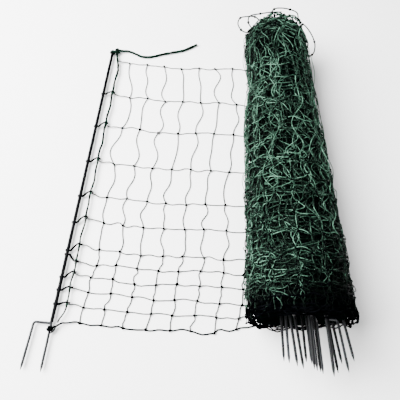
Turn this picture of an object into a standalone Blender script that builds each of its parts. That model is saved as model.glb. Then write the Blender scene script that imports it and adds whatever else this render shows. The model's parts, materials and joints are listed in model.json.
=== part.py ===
"""Electric poultry netting, partly unrolled: a flat panel of net with its end post, and the wound rest.

The netting lies on the ground. The end post is at -X, the roll lies along Y at +X, and the net's top
edge and the posts' tops point to +Y. The ground spikes point to -Y. The origin is under the middle of
the roll, on the ground. Units are metres.
"""

import math

import bmesh
import bpy
from mathutils import Matrix, Vector

# Netting: twelve horizontal strands, closer together near the ground, and upright strands across them.
ROW_GAPS = (0.053, 0.054, 0.054, 0.050, 0.053, 0.107, 0.102, 0.147, 0.167, 0.155, 0.178)
UPRIGHT_PITCH = 0.076
SHORTEST_UPRIGHT = 0.080  # what shows of an upright strand before it runs under the roll
FIRST_BAY = 0.050  # from the end rope to the first upright strand
ROW_LANDS = 0.042  # how far from the rope a row reaches the ground
ROW_FROM_ROPE = 0.0009
ROW_RADIUS = 0.0012
BOTTOM_ROW_RADIUS = 0.0018  # the lowest string is thicker and black
UPRIGHT_RADIUS = 0.0011
STRAND_STEP = 0.050  # between the points of a row's tube
UPRIGHT_STEP = 0.070
UPRIGHT_BELOW_NET = 0.002  # how far an upright strand stands past the lowest string
UPRIGHT_DROPS = (0.015, 0.040)  # where it leaves the lowest string, and where it lies on the thinner rows

# How the panel lies on the ground, seen from above.
PANEL_CORNER = (-0.723, -0.549)  # where the lowest string crosses the first upright strand
ROW_TURN = math.radians(-3.84)  # direction of the horizontal strands, from +X
COLUMN_LEAN = math.radians(5.5)  # direction of the posts and upright strands, from +Y towards +X
FOLD_X = -0.135  # the line along Y where the panel hinges on the roll
FOLD_Z = 0.006
FOLD_GAP = 0.002  # from a strand's end to that line

# Posts.
POST_LENGTH = 1.186
POST_RADIUS = 0.00625
POST_FOOT = (-0.8115, -0.556)  # where the end post's line meets its spike's crossbar
POST_TO_ROPE = 0.038

# Double ground spikes, bent from steel rod and welded.
SPIKE_ROD_RADIUS = 0.003
SPIKE_REACH = 0.155  # from the crossbar to the tip
SPIKE_SPACING = 0.060  # between the two prongs
SPIKE_BEND = 0.009  # radius of the crossbar's bend
SPIKE_SPLAY = math.radians(2.5)  # how far the side prong leans out
SPIKE_SOCKET = 0.026  # how deep the rod sits in the post
SPIKE_POINT = 0.018  # length of the tapered tip
SOCKET_SPARE = 0.002  # how much deeper the post's socket is
SIDE_PRONG_SHARE = 0.96  # thickness of the bent rod over the straight one
POINT_SHARE = 0.15  # thickness of a tip over its rod
POST_ABOVE_CROSSBAR = 0.004

# The rope along the post, the tie at each end of it, and its free tail.
ROPE_RADIUS_TOP = 0.0033
ROPE_RADIUS_FOOT = 0.0017
TIE_ROPE_RADIUS = 0.0028
TOP_TIE_FROM_END = 0.014  # from the post's top to the middle of its tie
BOTTOM_TIE_DROP = 0.016  # from the crossbar down to the middle of the tie on the spike's rod
ROPE_BESIDE_POST = 0.0195  # from the post's axis to the rope's, at its two ends
ROPE_STARTS = 0.003  # up the post
ROPE_STOPS = 0.006  # below the post's top
ROPE_BOW = 0.094  # how far below the post's top the rope starts to draw in to it
ROPE_BENDS = 16  # pieces of its straight run
TAIL_RADIUS = 0.0045
TAIL_GAP = 0.0005
TAIL_STEP = 0.018
KNOT_SIZE = (0.008, 0.009, 0.0065)
KNOT_ABOVE_ROPE = 0.0013

# Clips between post and rope: the row each serves, and how far below that row its peg is.
CLIP_PEGS = (
    (2, 0.006), (3, 0.014), (4, 0.011), (5, 0.014), (6, 0.020),
    (7, 0.021), (8, -0.017), (9, 0.016), (10, 0.007), (11, 0.002),
)
CLIP_RADIUS = 0.0020
CLIP_HOOK_RADIUS = 0.0014
CLIP_HEAD_RADIUS = 0.0042
CLIP_HEAD_THICKNESS = 0.002
CLIP_FROM_ROW = 0.006  # from the row's own strand to the hook
CLIP_SLACK = 0.0004  # radial play round the rope and in the post's hole

# The wound netting.
ROLL_FOOT_Y = -0.575
ROLL_TOP_Y = 0.585
ROLL_RADIUS = 0.1465  # at Y = 0
ROLL_TAPER = 0.037  # radius lost for each metre towards +Y
ROLL_HEIGHT_SHARE = 0.93  # height of its axis over its radius, so that the underside is pressed flat
ROLL_SEGMENTS = 48
ROLL_RIM = 0.012
RIM_ANGLE = math.radians(60)
CHANNEL_SLACK = 0.0010  # round each rolled post and spike

# Posts wound up in the roll: foot x, foot y, foot z, top x, top z, and the turn of the double spike
# about its post, in degrees from +X towards +Z.
ROLLED_POSTS = (
    (-0.061, -0.530, 0.155, -0.050, 0.124, -66),
    (-0.046, -0.548, 0.210, -0.112, 0.100, -64),
    (0.012, -0.530, 0.110, 0.000, 0.075, -63),
    (0.004, -0.555, 0.240, 0.004, 0.192, -70),
    (0.038, -0.560, 0.165, 0.035, 0.092, -70),
    (0.055, -0.570, 0.235, 0.035, 0.178, -75),
    (0.080, -0.563, 0.160, -0.015, 0.150, -45),
    (0.112, -0.535, 0.085, -0.013, 0.045, 74),
)

GAP = 0.0003  # between neighbouring pieces
OFF_GROUND = 0.0001
ROUND_SIDES = 24
ROLLED_POST_SIDES = 16
HOLE_SIDES = 12
SMOOTH_ANGLE = math.radians(40)

ROWS = len(ROW_GAPS) + 1
NET_HEIGHT = sum(ROW_GAPS)
ROW_HEIGHTS = tuple(sum(ROW_GAPS[:ROWS - row]) for row in range(1, ROWS + 1))  # from the top row down
ALONG = Vector((math.cos(ROW_TURN), math.sin(ROW_TURN), 0.0))
UP = Vector((math.sin(COLUMN_LEAN), math.cos(COLUMN_LEAN), 0.0))
ACROSS = Vector((math.cos(COLUMN_LEAN), -math.sin(COLUMN_LEAN), 0.0))
POST_Z = POST_RADIUS + GAP + 2 * TIE_ROPE_RADIUS + OFF_GROUND

COLOURS = {
    "post": ((0.030, 0.032, 0.036), 0.45, 0.0),
    "spike": ((0.42, 0.44, 0.46), 0.35, 1.0),
    "green_strand": ((0.045, 0.200, 0.110), 0.60, 0.0),
    "black_strand": ((0.015, 0.016, 0.018), 0.55, 0.0),
    "rope": ((0.030, 0.130, 0.070), 0.70, 0.0),
    "clip": ((0.018, 0.019, 0.020), 0.40, 0.0),
    "wound_net": ((0.040, 0.160, 0.090), 0.75, 0.0),
}


def clear_scene():
    for obj in list(bpy.data.objects):
        bpy.data.objects.remove(obj, do_unlink=True)


def new_collection(name):
    collection = bpy.data.collections.new(name)
    bpy.context.scene.collection.children.link(collection)
    return collection


def finish(name):
    """The Principled material of this name, made on first use."""
    if name in bpy.data.materials:
        return bpy.data.materials[name]
    colour, roughness, metallic = COLOURS[name]
    material = bpy.data.materials.new(name)
    material.use_nodes = True
    shader = material.node_tree.nodes["Principled BSDF"]
    shader.inputs["Base Color"].default_value = (*colour, 1.0)
    shader.inputs["Roughness"].default_value = roughness
    shader.inputs["Metallic"].default_value = metallic
    return material


def add(name, data, collection, material, matrix=None):
    """A new object in its collection, with its finish, placed in the world."""
    obj = bpy.data.objects.new(name, data)
    collection.objects.link(obj)
    if material and not data.materials:
        data.materials.append(finish(material))
    if matrix is not None:
        obj.matrix_world = matrix
    return obj


def smooth_path(route, step):
    """Points about a step apart on the smooth curve through a route's own points."""
    route = [Vector(p) for p in route]
    ends = [2 * route[0] - route[1], *route, 2 * route[-1] - route[-2]]
    points = [route[0]]
    for before, start, end, after in zip(ends, ends[1:], ends[2:], ends[3:]):
        pieces = max(1, round((end - start).length / step))
        for i in range(1, pieces + 1):
            t = i / pieces
            points.append(
                0.5 * (2 * start + (end - before) * t
                       + (2 * before - 5 * start + 4 * end - after) * t * t
                       + (3 * start - before - 3 * end + after) * t ** 3)
            )
    return points


def tube_data(name, points, radii):
    """A round tube as a poly curve: one radius, or one for each point."""
    if isinstance(radii, float):
        radii = [radii] * len(points)
    curve = bpy.data.curves.new(name, "CURVE")
    curve.dimensions = "3D"
    curve.bevel_depth = max(radii)
    curve.bevel_resolution = 2
    curve.use_fill_caps = True
    spline = curve.splines.new("POLY")
    spline.points.add(len(points) - 1)
    for place, point, radius in zip(spline.points, points, radii):
        place.co = (*point, 1.0)
        place.radius = radius / max(radii)
    return curve


def mesh_of(obj):
    """The object's evaluated shape as a mesh with its caps welded. The object itself is removed."""
    graph = bpy.context.evaluated_depsgraph_get()
    mesh = bpy.data.meshes.new_from_object(obj.evaluated_get(graph))
    bm = bmesh.new()
    bm.from_mesh(mesh)
    bmesh.ops.remove_doubles(bm, verts=bm.verts, dist=0.00001)
    bmesh.ops.recalc_face_normals(bm, faces=bm.faces)
    bm.to_mesh(mesh)
    bm.free()
    mesh.shade_smooth()
    mesh.set_sharp_from_angle(angle=SMOOTH_ANGLE)
    bpy.data.objects.remove(obj)
    return mesh


def rod_mesh(name, radius, start, end, sides):
    """A straight round rod between two heights of its own Z axis."""
    mesh = bpy.data.meshes.new(name)
    bm = bmesh.new()
    bmesh.ops.create_cone(
        bm, cap_ends=True, segments=sides, radius1=radius, radius2=radius, depth=end - start,
        matrix=Matrix.Translation((0, 0, (start + end) / 2)),
    )
    bm.to_mesh(mesh)
    bm.free()
    mesh.shade_smooth()
    mesh.set_sharp_from_angle(angle=SMOOTH_ANGLE)
    return mesh


def box_mesh(name, size, place):
    mesh = bpy.data.meshes.new(name)
    bm = bmesh.new()
    bmesh.ops.create_cube(bm, size=1.0, matrix=Matrix.Translation(place) @ Matrix.Diagonal((*size, 1.0)))
    bm.to_mesh(mesh)
    bm.free()
    return mesh


def move_to(obj, collection):
    for holder in list(obj.users_collection):
        holder.objects.unlink(obj)
    collection.objects.link(obj)


def cut(obj, cutter, operation="DIFFERENCE"):
    modifier = obj.modifiers.new(cutter.name, "BOOLEAN")
    modifier.operation = operation
    modifier.object = cutter
    cutter.hide_render = True
    cutter.display_type = "WIRE"


def net_point(along, up, z):
    """A place on the panel: distances along the rows and up the upright strands."""
    corner = Vector((*PANEL_CORNER, 0.0))
    return corner + along * ALONG + up * UP + Vector((0, 0, z))


def post_frame():
    """The end post's own frame: local Z up the post, local X across it towards the net."""
    axes = Matrix((ACROSS, Vector((0, 0, -1)), UP)).transposed().to_4x4()
    return Matrix.Translation((*POST_FOOT, POST_Z)) @ axes


def post_place(across, up, lift):
    """A world point from the end post's own frame, where lift is height above its axis."""
    return post_frame() @ Vector((across, -lift, up))


def height_on_post(world):
    """How far up the end post's own axis a world point is."""
    return (post_frame().inverted() @ world).z


def row_start(row):
    """Where a row would meet the rope's axis."""
    return net_point(-FIRST_BAY, ROW_HEIGHTS[row - 1], POST_Z)


def rope_radius(up_post):
    share = min(max(up_post / POST_LENGTH, 0.0), 1.0)
    return ROPE_RADIUS_FOOT + (ROPE_RADIUS_TOP - ROPE_RADIUS_FOOT) * share


def make_spike_mesh(cutters):
    """The double spike in a post's frame: a straight rod, and a bent rod welded to its side."""
    straight = add("spike_rod", tube_data(
        "spike_rod",
        [Vector((0, 0, z)) for z in (SPIKE_SOCKET, 0, SPIKE_POINT - SPIKE_REACH, -SPIKE_REACH)],
        [SPIKE_ROD_RADIUS] * 3 + [SPIKE_ROD_RADIUS * POINT_SHARE],
    ), cutters, None)
    bend = [
        Vector((-SPIKE_SPACING + SPIKE_BEND * (1 - math.sin(a)), 0, -SPIKE_BEND * (1 - math.cos(a))))
        for a in (math.radians(15 * i) for i in range(7))
    ]
    lean = Vector((-math.sin(SPIKE_SPLAY), 0, -math.cos(SPIKE_SPLAY)))
    prong = SPIKE_REACH - SPIKE_BEND
    route = [Vector((0, 0, 0)), *bend, bend[-1] + lean * (prong - SPIKE_POINT), bend[-1] + lean * prong]
    side_radius = SPIKE_ROD_RADIUS * SIDE_PRONG_SHARE
    bent = add("spike_bent_rod", tube_data(
        "spike_bent_rod", route, [side_radius] * (len(route) - 1) + [side_radius * POINT_SHARE]
    ), cutters, None)
    joined = add("spike_weld", mesh_of(straight), cutters, None)
    side = add("spike_side", mesh_of(bent), cutters, None)
    cut(joined, side, "UNION")
    joined.hide_render = True
    mesh = mesh_of(joined)
    bpy.data.objects.remove(side)
    mesh.name = "double_spike"
    return mesh


def post_mesh(name, sides, cutters):
    """A post with the blind socket that its spike's rod sits in, upright on the origin."""
    socket_radius = SPIKE_ROD_RADIUS + GAP
    post = add("plain_post", rod_mesh(name, POST_RADIUS, POST_ABOVE_CROSSBAR, POST_LENGTH, sides),
               cutters, None)
    socket = add("cut_socket", rod_mesh(
        "cut_socket", socket_radius, -socket_radius, SPIKE_SOCKET + SOCKET_SPARE, HOLE_SIDES
    ), cutters, None)
    cut(post, socket)
    mesh = mesh_of(post)
    mesh.name = name
    bpy.data.objects.remove(socket)
    return mesh


def make_end_post(parts, cutters):
    """The post, with a hole for each clip's peg."""
    post = add("end_post", post_mesh("end_post", ROUND_SIDES, cutters), parts, "post", post_frame())
    across = Matrix.Rotation(math.radians(90), 4, "Y")
    for row, drop in CLIP_PEGS:
        height = height_on_post(row_start(row)) - drop
        hole = add(f"cut_peg_{row:02d}", rod_mesh(
            f"cut_peg_{row:02d}", CLIP_RADIUS + CLIP_SLACK, -2 * POST_RADIUS, 2 * POST_RADIUS, HOLE_SIDES
        ), cutters, None, post_frame() @ Matrix.Translation((0, 0, height)) @ across)
        cut(post, hole)


def make_clip(parts, row, drop):
    """A peg with a head, through the post, whose arm climbs to a hook over the rope."""
    hook_height = height_on_post(row_start(row)) + math.copysign(CLIP_FROM_ROW, drop)
    peg_height = height_on_post(row_start(row)) - drop
    hook = rope_radius(hook_height) + CLIP_SLACK + CLIP_HOOK_RADIUS
    head = POST_RADIUS + CLIP_SLACK
    route = [
        ((-head - CLIP_HEAD_THICKNESS, peg_height, 0), CLIP_HEAD_RADIUS * 0.8),
        ((-head - 0.5 * CLIP_HEAD_THICKNESS, peg_height, 0), CLIP_HEAD_RADIUS),
        ((-head, peg_height, 0), CLIP_RADIUS),
        ((head + 0.002, peg_height, 0), CLIP_RADIUS),
        ((head + 0.006, peg_height + 0.1 * (hook_height - peg_height), 0.0004), CLIP_RADIUS),
        ((POST_TO_ROPE - 0.010, hook_height, hook * 0.75), CLIP_RADIUS),
    ]
    points = [post_place(p, up, lift) for (p, up, lift), _ in route]
    radii = [radius for _, radius in route]
    for degrees in range(105, -141, -35):
        a = math.radians(degrees)
        points.append(post_place(POST_TO_ROPE + hook * math.cos(a), hook_height, hook * math.sin(a)))
        radii.append(CLIP_HOOK_RADIUS)
    add(f"clip_{row:02d}", tube_data(f"clip_{row:02d}", points, radii), parts, "clip")


def make_tie(parts, name, height, rod_radius):
    """A turn of rope round the post or its spike, as one closed ring."""
    place = post_frame() @ Matrix.Translation((0, 0, height))
    bpy.ops.mesh.primitive_torus_add(
        major_radius=rod_radius + GAP + TIE_ROPE_RADIUS, minor_radius=TIE_ROPE_RADIUS,
        major_segments=20, minor_segments=8,
    )
    ring = bpy.context.active_object
    ring.name = name
    ring.data.name = name
    move_to(ring, parts)
    ring.matrix_world = place
    ring.data.shade_smooth()
    ring.data.materials.append(finish("black_strand"))


def rope_route():
    """The rope runs straight past the clips and bows to the post at both ends."""
    reach = POST_TO_ROPE - ROPE_BESIDE_POST
    low = ((ROPE_STARTS, 0.0), (0.014, 0.2), (0.034, 0.73), (0.052, 0.97))
    high = ((0.074, 0.95), (0.050, 0.62), (0.026, 0.2), (ROPE_STOPS, 0.0))
    first = 0.075
    last = POST_LENGTH - ROPE_BOW
    return [
        *[post_place(ROPE_BESIDE_POST + reach * share, up, 0) for up, share in low],
        *[post_place(POST_TO_ROPE, first + (last - first) * i / ROPE_BENDS, 0)
          for i in range(ROPE_BENDS + 1)],
        *[post_place(ROPE_BESIDE_POST + reach * share, POST_LENGTH - down, 0) for down, share in high],
    ]


def make_rope(parts):
    points = smooth_path(rope_route(), STRAND_STEP)
    radii = [rope_radius(height_on_post(p)) for p in points]
    add("end_rope", tube_data("end_rope", points, radii), parts, "rope")


def make_top_knot(parts):
    place = knot_place()
    mesh = bpy.data.meshes.new("top_knot")
    bm = bmesh.new()
    bmesh.ops.create_uvsphere(bm, u_segments=12, v_segments=8, radius=1.0,
                              matrix=Matrix.Diagonal((*KNOT_SIZE, 1.0)))
    bm.to_mesh(mesh)
    bm.free()
    mesh.shade_smooth()
    add("top_knot", mesh, parts, "black_strand", Matrix.Translation(place))


def knot_place():
    rope_end = rope_route()[-1]
    return rope_end + UP * (KNOT_SIZE[1] + KNOT_ABOVE_ROPE)


def tail_route():
    """The rope's free tail, from the knot along the ground past the net's top row."""
    knot = knot_place()
    start = knot + Vector((KNOT_SIZE[0] + TAIL_GAP, 0, 0))
    floor = TAIL_RADIUS + 2 * OFF_GROUND
    return [
        start,
        start + Vector((0.014, -0.002, -0.002)),
        (-0.628, 0.627, floor + 0.001),
        (-0.599, 0.612, floor),
        (-0.570, 0.598, floor),
        (-0.535, 0.594, floor),
        (-0.485, 0.608, floor),
        (-0.436, 0.620, floor),
        (-0.389, 0.631, floor),
        (-0.352, 0.649, floor),
        (-0.324, 0.667, floor),
    ]


def make_tail(parts):
    points = smooth_path(tail_route(), TAIL_STEP)
    add("tie_tail", tube_data("tie_tail", points, TAIL_RADIUS), parts, "rope")


def along_to_fold(up):
    """The distance along a row at which it reaches the fold line."""
    start = net_point(0, up, 0)
    return (FOLD_X - FOLD_GAP - start.x) / ALONG.x


def make_row(parts, row):
    """A horizontal strand, which drops from the rope to the ground and runs to the fold line."""
    up = ROW_HEIGHTS[row - 1]
    radius = BOTTOM_ROW_RADIUS if row == ROWS else ROW_RADIUS
    start = rope_radius(height_on_post(row_start(row))) + ROW_FROM_ROPE
    end = along_to_fold(up)
    fall = POST_Z - radius
    drops = ((start, 0.0), (0.012, 0.2), (0.024, 0.65), (0.034, 0.95), (ROW_LANDS, 1.0))
    route = [net_point(d - FIRST_BAY, up, POST_Z - fall * share) for d, share in drops]
    landed = ROW_LANDS - FIRST_BAY
    bays = round((end - landed) / STRAND_STEP)
    route += [net_point(landed + (end - landed) * (i + 1) / bays, up, radius) for i in range(bays)]
    name = f"horizontal_strand_{row:02d}"
    material = "black_strand" if row == ROWS else "green_strand"
    add(name, tube_data(name, route, radius), parts, material)


def upright_top(column):
    """How far up the net an upright strand goes before it ends, or before the fold line."""
    foot = net_point(UPRIGHT_PITCH * (column - 1), 0, 0)
    return min(NET_HEIGHT, (FOLD_X - FOLD_GAP - UPRIGHT_RADIUS - foot.x) / UP.x)


def make_upright(parts, column):
    """An upright strand lying across the rows, from the lowest string to the top row or the fold line."""
    along = UPRIGHT_PITCH * (column - 1)
    top = upright_top(column)
    over_rows = 2 * ROW_RADIUS + GAP + UPRIGHT_RADIUS
    over_bottom = 2 * BOTTOM_ROW_RADIUS + GAP + UPRIGHT_RADIUS
    leaves, lands = UPRIGHT_DROPS
    bays = round((top - lands) / UPRIGHT_STEP)
    route = [
        net_point(along, -UPRIGHT_BELOW_NET, over_bottom),
        net_point(along, leaves, over_bottom),
        *[net_point(along, lands + (top - lands) * i / bays, over_rows) for i in range(bays + 1)],
    ]
    name = f"upright_strand_{column}"
    add(name, tube_data(name, route, UPRIGHT_RADIUS), parts, "green_strand")


def rolled_frame(foot_x, foot_y, foot_z, top_x, top_z, turn):
    """A rolled post's frame: local Z up the post, local -X towards its side prong."""
    drop = Vector((top_x - foot_x, 0, top_z - foot_z))
    run = math.sqrt(POST_LENGTH ** 2 - drop.length_squared)
    up = (drop + Vector((0, run, 0))).normalized()
    angle = math.radians(turn)
    side = -Vector((math.cos(angle), 0, math.sin(angle)))
    side = (side - up * side.dot(up)).normalized()
    axes = Matrix((side, up.cross(side), up)).transposed().to_4x4()
    return Matrix.Translation((foot_x, foot_y, foot_z)) @ axes


def make_roll(parts, cutters):
    """The wound netting as one tapered solid, pressed flat below, with a way for each rolled post."""
    length = ROLL_TOP_Y - ROLL_FOOT_Y
    foot_radius = ROLL_RADIUS - ROLL_TAPER * ROLL_FOOT_Y
    top_radius = ROLL_RADIUS - ROLL_TAPER * ROLL_TOP_Y
    bpy.ops.mesh.primitive_cone_add(vertices=ROLL_SEGMENTS, radius1=foot_radius, radius2=top_radius,
                                    depth=length)
    roll = bpy.context.active_object
    roll.name = roll.data.name = "wound_net"
    move_to(roll, parts)
    foot = Vector((0, ROLL_FOOT_Y, foot_radius * ROLL_HEIGHT_SHARE))
    top = Vector((0, ROLL_TOP_Y, top_radius * ROLL_HEIGHT_SHARE))
    turn = (top - foot).to_track_quat("Z", "Y").to_matrix().to_4x4()
    roll.matrix_world = Matrix.Translation((foot + top) / 2) @ turn
    roll.data.materials.append(finish("wound_net"))
    rim = roll.modifiers.new("rim", "BEVEL")
    rim.width = ROLL_RIM
    rim.segments = 2
    rim.limit_method = "ANGLE"
    rim.angle_limit = RIM_ANGLE
    ground = box_mesh("cut_ground", (4 * foot_radius, 2 * length, foot_radius), (0, 0, -foot_radius / 2))
    cut(roll, add("cut_ground", ground, cutters, None))
    thick = 2 * (SPIKE_ROD_RADIUS + CHANNEL_SLACK)
    wide = SPIKE_SPACING + SPIKE_REACH * math.tan(SPIKE_SPLAY) + thick
    deep = SPIKE_REACH + thick / 2
    middle = ((thick - wide) / 2, 0, deep / 2 - SPIKE_REACH)
    for number, post in enumerate(ROLLED_POSTS, 1):
        frame = rolled_frame(*post)
        channel = rod_mesh(f"cut_post_{number}", POST_RADIUS + CHANNEL_SLACK, -POST_LENGTH / 6,
                           POST_LENGTH + POST_RADIUS, HOLE_SIDES)
        cut(roll, add(channel.name, channel, cutters, None, frame))
        slot = box_mesh(f"cut_spike_{number}", (wide, thick, deep), middle)
        cut(roll, add(slot.name, slot, cutters, None, frame))


def make_rolled_posts(parts, cutters, spike_mesh):
    rolled_post = post_mesh("rolled_post", ROLLED_POST_SIDES, cutters)
    for number, post in enumerate(ROLLED_POSTS, 1):
        frame = rolled_frame(*post)
        add(f"rolled_post_{number}", rolled_post, parts, "post", frame)
        add(f"rolled_spike_{number}", spike_mesh, parts, "spike", frame)


def hang_on_axes(parts):
    """Parents each piece to the empty on its body's joint axis, and leaves it where it is.

    The net panel turns about the fold line along Y, and the end post about the rope beside it.
    """
    rope_line = post_frame() @ Matrix.Translation((POST_TO_ROPE, 0, 0))
    bodies = {
        "roll_rest": (Matrix.Identity(4), None, ("wound_net", "rolled_")),
        "fold_line": (Matrix.Translation((FOLD_X, 0, FOLD_Z)), "roll_rest",
                      ("end_rope", "top_knot", "tie_tail", "horizontal_", "upright_")),
        "rope_line": (rope_line, "fold_line", ("end_post", "end_spike", "clip_", "top_tie", "bottom_tie")),
    }
    bpy.context.view_layer.update()
    pieces = list(parts.objects)
    empties = {}
    for name, (matrix, holder, starts) in bodies.items():
        empty = add(name, None, parts, None, matrix)
        for piece in pieces:
            if piece.name.startswith(starts):
                piece.parent = empty
                piece.matrix_parent_inverse = matrix.inverted()
        if holder:
            empty.parent = empties[holder]
            empty.matrix_parent_inverse = bodies[holder][0].inverted()
        empties[name] = empty


def main():
    clear_scene()
    parts = new_collection("poultry_netting")
    cutters = new_collection("cutters")
    spike = make_spike_mesh(cutters)
    make_end_post(parts, cutters)
    add("end_spike", spike, parts, "spike", post_frame())
    for row, drop in CLIP_PEGS:
        make_clip(parts, row, drop)
    make_tie(parts, "top_tie", POST_LENGTH - TOP_TIE_FROM_END, POST_RADIUS)
    make_tie(parts, "bottom_tie", -BOTTOM_TIE_DROP, SPIKE_ROD_RADIUS)
    make_rope(parts)
    make_top_knot(parts)
    make_tail(parts)
    for row in range(1, ROWS + 1):
        make_row(parts, row)
    column = 1
    while upright_top(column) > SHORTEST_UPRIGHT:
        make_upright(parts, column)
        column += 1
    make_roll(parts, cutters)
    make_rolled_posts(parts, cutters, spike)
    hang_on_axes(parts)


main()
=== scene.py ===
# %% [markdown]
# # A roll of electric poultry netting, partly unrolled
#
# Poultry netting is a long net of thin plastic twine, 1.12 m high. Its level strands have fine steel
# wires twisted in, and the moulded black knots hold every crossing. Posts with double ground spikes
# are clipped in, and the net is wound up around them. Here a flat panel of net lies on the ground with
# its end post, and the rest is still wound on the roll.
#
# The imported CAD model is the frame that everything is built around. It comes first, because each
# place below is read from it.

# %% Load the frame
import json
import math

import bmesh
import bpy
import numpy as np
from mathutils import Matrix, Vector


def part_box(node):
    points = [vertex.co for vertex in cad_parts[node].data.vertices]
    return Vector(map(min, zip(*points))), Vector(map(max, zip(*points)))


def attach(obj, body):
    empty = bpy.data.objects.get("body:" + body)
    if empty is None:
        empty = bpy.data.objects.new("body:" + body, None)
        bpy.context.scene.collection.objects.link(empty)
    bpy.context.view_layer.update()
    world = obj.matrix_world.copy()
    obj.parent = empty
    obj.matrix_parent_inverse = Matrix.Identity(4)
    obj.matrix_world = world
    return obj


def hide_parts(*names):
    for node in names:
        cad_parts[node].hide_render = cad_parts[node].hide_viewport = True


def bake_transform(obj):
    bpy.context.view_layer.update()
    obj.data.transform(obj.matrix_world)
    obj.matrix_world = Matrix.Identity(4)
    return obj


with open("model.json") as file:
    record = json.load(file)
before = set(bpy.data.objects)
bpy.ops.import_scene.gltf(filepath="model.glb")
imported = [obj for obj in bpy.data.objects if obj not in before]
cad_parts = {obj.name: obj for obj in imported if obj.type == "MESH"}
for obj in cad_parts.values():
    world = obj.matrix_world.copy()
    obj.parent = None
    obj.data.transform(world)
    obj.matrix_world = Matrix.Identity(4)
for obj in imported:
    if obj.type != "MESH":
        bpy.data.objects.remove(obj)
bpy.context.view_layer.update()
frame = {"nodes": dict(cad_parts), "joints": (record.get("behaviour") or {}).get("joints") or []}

# %% [markdown]
# ## Camera
#
# The camera looks down at the net from the side of the ground spikes. Its lens is a normal one, so the
# far end of the roll looks a little smaller than the near end. A place and one tilt are enough to aim
# it.

# %% Make the camera
LENS = 39.14
CAMERA_PLACE = (-0.310, -0.764, 1.5226)
CAMERA_TILT = math.radians(23.66)
camera_data = bpy.data.cameras.new("camera")
camera_data.lens = LENS
camera = bpy.data.objects.new("camera", camera_data)
camera.location = CAMERA_PLACE
camera.rotation_euler = (CAMERA_TILT, 0, 0)
bpy.context.scene.collection.objects.link(camera)
bpy.context.scene.camera = camera
print("camera at", CAMERA_PLACE, "with a lens of", LENS, "mm")

# %% [markdown]
# ## Shader maths
#
# Shader nodes are easier to read as sums than as boxes and wires. A `Wire` stands for one output
# socket, and adding or multiplying wires adds the Math nodes. A `Finish` is one material.


# %% Wires and finishes
class Wire:
    """An output socket that can be added to, multiplied and so on."""

    def __init__(self, finish, socket):
        self.finish = finish
        self.socket = socket

    def __add__(self, other):
        return self.finish.maths("ADD", self, other)

    def __sub__(self, other):
        return self.finish.maths("SUBTRACT", self, other)

    def __rsub__(self, other):
        return self.finish.maths("SUBTRACT", other, self)

    def __mul__(self, other):
        return self.finish.maths("MULTIPLY", self, other)

    __radd__ = __add__
    __rmul__ = __mul__


class Finish:
    """A material with one Principled shader. Plain values go straight on the shader's sockets."""

    def __init__(self, name, **plain):
        self.material = bpy.data.materials.new(name)
        self.material.use_nodes = True
        self.nodes = self.material.node_tree.nodes
        self.links = self.material.node_tree.links
        self.shader = self.nodes["Principled BSDF"]
        for socket, value in plain.items():
            self.shader.inputs[socket.replace("_", " ")].default_value = value

    def node(self, kind, settings=None, sockets=None):
        made = self.nodes.new(kind)
        for name, value in (settings or {}).items():
            setattr(made, name, value)
        for name, value in (sockets or {}).items():
            if isinstance(value, Wire):
                self.links.new(value.socket, made.inputs[name])
            else:
                made.inputs[name].default_value = value
        return made

    def maths(self, operation, *values, clamp=False):
        made = self.node("ShaderNodeMath", {"operation": operation, "use_clamp": clamp},
                         dict(enumerate(values)))
        return Wire(self, made.outputs[0])

    def clamped(self, wire):
        return self.maths("ADD", wire, 0.0, clamp=True)

    def attribute(self, name, output="Fac"):
        return Wire(self, self.node("ShaderNodeAttribute", {"attribute_name": name}).outputs[output])

    def place(self, scale=(1, 1, 1)):
        """Object coordinates, squeezed or stretched."""
        coordinates = Wire(self, self.node("ShaderNodeTexCoord").outputs["Object"])
        return Wire(self, self.node("ShaderNodeMapping", None,
                                    {"Vector": coordinates, "Scale": scale}).outputs[0])

    def noise(self, scale, detail=2.0, stretch=(1, 1, 1)):
        sockets = {"Vector": self.place(stretch), "Scale": scale, "Detail": detail}
        return Wire(self, self.node("ShaderNodeTexNoise", None, sockets).outputs["Fac"])

    def between(self, share, first, second):
        """A colour between two others."""
        mix = self.node("ShaderNodeMix", {"data_type": "RGBA"}, {"Factor": share})
        for socket, colour in ((mix.inputs["A"], first), (mix.inputs["B"], second)):
            socket = next(s for s in mix.inputs if s.identifier == f"{socket.name}_Color")
            if isinstance(colour, Wire):
                self.links.new(colour.socket, socket)
            else:
                socket.default_value = (*colour, 1.0)
        return Wire(self, next(s for s in mix.outputs if s.identifier == "Result_Color"))

    def drive(self, socket, wire):
        self.links.new(wire.socket, self.shader.inputs[socket])

    def bump(self, height, strength, distance):
        made = self.node("ShaderNodeBump", None,
                         {"Height": height, "Strength": strength, "Distance": distance})
        self.links.new(made.outputs[0], self.shader.inputs["Normal"])


# %% [markdown]
# ## Twine
#
# The green twine is a twist of plastic threads with a dull gloss. Each strand carries three attributes:
# `tone` is its own shade, `along` is the distance along it, and `turn` is the direction round it. The
# twist is a wave along the strand that also goes once round it, so it winds like a screw thread, and
# the colour is paler on its ridges and darker in its grooves, as painted light and shade. A fourth
# attribute, `depth`, darkens the wound strands: painted shade deep in the roll and on its side away from
# the key light, and darker at the foot and at the top near the panel. Small bright flecks are the steel
# wires and the paler threads.


# %% Twine finishes
WEAR_SIZE = 70.0
FLECK_SIZE = 420.0
THREAD_HEIGHT = 0.0004
# where the painted shade is full, the twine's dark colour keeps this share
DEEP_SHARE = 0.25  # what is left of the dark colour deep inside the roll


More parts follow.
